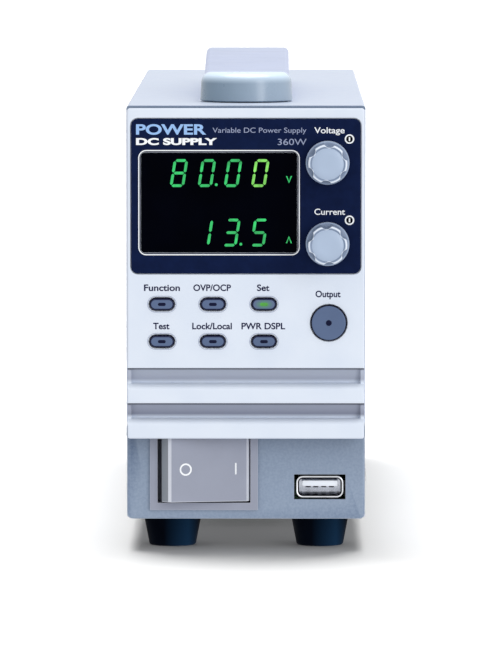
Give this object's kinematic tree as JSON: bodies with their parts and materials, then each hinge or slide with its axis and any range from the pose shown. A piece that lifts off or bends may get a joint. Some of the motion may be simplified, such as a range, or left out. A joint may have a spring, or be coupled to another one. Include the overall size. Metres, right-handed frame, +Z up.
{
  "type": "bench power supply",
  "caption": "Narrow upright bench DC power supply with a digital display, push-and-turn knobs, a keypad, a rocker power switch, a strap handle, rubber feet and a fan-cooled back.",
  "frame": {"origin": "on the bench, under the middle of the bounding box", "axes": "+Z up, the front panel faces -Y, +X to the right as seen from the front"},
  "size_m": [0.0728, 0.374, 0.1471],
  "materials": {
    "white_plastic": "fine satin moulding",
    "white_paint": "pale lavender-grey powder coat",
    "slate_paint": "blue-grey metallic paint",
    "overlay_blue": "dark blue printed membrane",
    "black_lens": "smoked display lens",
    "key_grey": "blue-grey satin",
    "knob_silver": "light blue-grey satin",
    "switch_grey": "blue-grey satin",
    "steel": "bright plated",
    "aluminium": "plain",
    "brass": "plain",
    "black_plastic": "black moulding",
    "black_rubber": "black rubber",
    "strap": "pale lavender soft plastic",
    "cap_grey": "glossy blue-grey",
    "board_green": "solder mask",
    "ferrite": "dark ferrite",
    "tape_yellow": "winding tape",
    "capacitor_blue": "shrink sleeve",
    "copper": "enamelled copper winding",
    "foam": "open-cell foam",
    "silicone": "grey silicone",
    "tongue_white": "white plastic",
    "connector_green": "green moulding"
  },
  "bodies": {
    "chassis": {"ac_inlet": "black_plastic", "air_filter": "foam", "bulk_capacitor": "capacitor_blue", "chassis_tray": "steel", "control_connector": "steel", "cover_screw_left_front": "steel", "cover_screw_left_rear": "steel", "cover_screw_right_front": "steel", "cover_screw_right_rear": "steel", "current_display": "black_plastic", "current_encoder": "steel", "display_board": "board_green", "display_overlay": "overlay_blue", "display_window": "black_lens", "fan_frame": "black_plastic", "finger_guard": "steel", "foot_front_left": "black_rubber", "foot_front_right": "black_rubber", "foot_rear_left": "black_rubber", "foot_rear_right": "black_rubber", "front_panel": "white_plastic", "front_subpanel": "slate_paint", "front_usb_shell": "steel", "front_usb_tongue": "tongue_white", "handle_front_cap": "cap_grey", "handle_rear_cap": "cap_grey", "handle_strap": "strap", "heatsink": "aluminium", "keypad_mat": "silicone", "lan_port": "steel", "main_board": "board_green", "mains_harness": "black_rubber", "negative_terminal": "brass", "output_inductor": "copper", "output_terminal_block": "black_plastic", "positive_terminal": "brass", "power_switch_housing": "switch_grey", "rear_panel": "white_paint", "sense_terminal": "connector_green", "top_cover": "white_paint", "transformer_core": "ferrite", "transformer_winding": "tape_yellow", "usb_b_port": "steel", "voltage_display": "black_plastic", "voltage_encoder": "steel"},
    "voltage_plunger": {"voltage_plunger": "brass"},
    "voltage_knob": {"voltage_knob": "knob_silver", "voltage_shaft": "aluminium"},
    "current_plunger": {"current_plunger": "brass"},
    "current_knob": {"current_knob": "knob_silver", "current_shaft": "aluminium"},
    "key_function": {"key_function": "key_grey"},
    "key_protection": {"key_protection": "key_grey"},
    "key_set": {"key_set": "key_grey"},
    "key_test": {"key_test": "key_grey"},
    "key_lock": {"key_lock": "key_grey"},
    "key_power_display": {"key_power_display": "key_grey"},
    "output_button": {"output_button": "key_grey"},
    "power_rocker": {"power_rocker": "switch_grey"},
    "fan_rotor": {"fan_rotor": "black_plastic"}
  },
  "joints": [
    {"name": "voltage_push", "type": "slide", "parent": "chassis", "child": "voltage_plunger", "axis": [0, 1, 0], "range_m": [0, 0.0015], "stiffness_N_per_m": 600, "springref_m": -0.001},
    {"name": "voltage_turn", "type": "hinge", "parent": "voltage_plunger", "child": "voltage_knob", "pos_m": [0.0243, -0.175, 0.1165], "axis": [0, 1, 0], "continuous": true},
    {"name": "current_push", "type": "slide", "parent": "chassis", "child": "current_plunger", "axis": [0, 1, 0], "range_m": [0, 0.0015], "stiffness_N_per_m": 600, "springref_m": -0.001},
    {"name": "current_turn", "type": "hinge", "parent": "current_plunger", "child": "current_knob", "pos_m": [0.0243, -0.175, 0.09235], "axis": [0, 1, 0], "continuous": true},
    {"name": "key_function_press", "type": "slide", "parent": "chassis", "child": "key_function", "axis": [0, 1, 0], "range_m": [0, 0.0008], "stiffness_N_per_m": 500, "springref_m": -0.0005},
    {"name": "key_protection_press", "type": "slide", "parent": "chassis", "child": "key_protection", "axis": [0, 1, 0], "range_m": [0, 0.0008], "stiffness_N_per_m": 500, "springref_m": -0.0005},
    {"name": "key_set_press", "type": "slide", "parent": "chassis", "child": "key_set", "axis": [0, 1, 0], "range_m": [0, 0.0008], "stiffness_N_per_m": 500, "springref_m": -0.0005},
    {"name": "key_test_press", "type": "slide", "parent": "chassis", "child": "key_test", "axis": [0, 1, 0], "range_m": [0, 0.0008], "stiffness_N_per_m": 500, "springref_m": -0.0005},
    {"name": "key_lock_press", "type": "slide", "parent": "chassis", "child": "key_lock", "axis": [0, 1, 0], "range_m": [0, 0.0008], "stiffness_N_per_m": 500, "springref_m": -0.0005},
    {"name": "key_power_display_press", "type": "slide", "parent": "chassis", "child": "key_power_display", "axis": [0, 1, 0], "range_m": [0, 0.0008], "stiffness_N_per_m": 500, "springref_m": -0.0005},
    {"name": "output_press", "type": "slide", "parent": "chassis", "child": "output_button", "axis": [0, 1, 0], "range_m": [0, 0.0008], "stiffness_N_per_m": 500, "springref_m": -0.0005},
    {"name": "power_rock", "type": "hinge", "parent": "chassis", "child": "power_rocker", "pos_m": [-0.01255, -0.1625, 0.02462], "axis": [0, 0, 1], "range_deg": [-22.2, 0]},
    {"name": "fan_spin", "type": "hinge", "parent": "chassis", "child": "fan_rotor", "pos_m": [0, 0.1612, 0.0679], "axis": [0, 1, 0], "continuous": true}
  ]
}
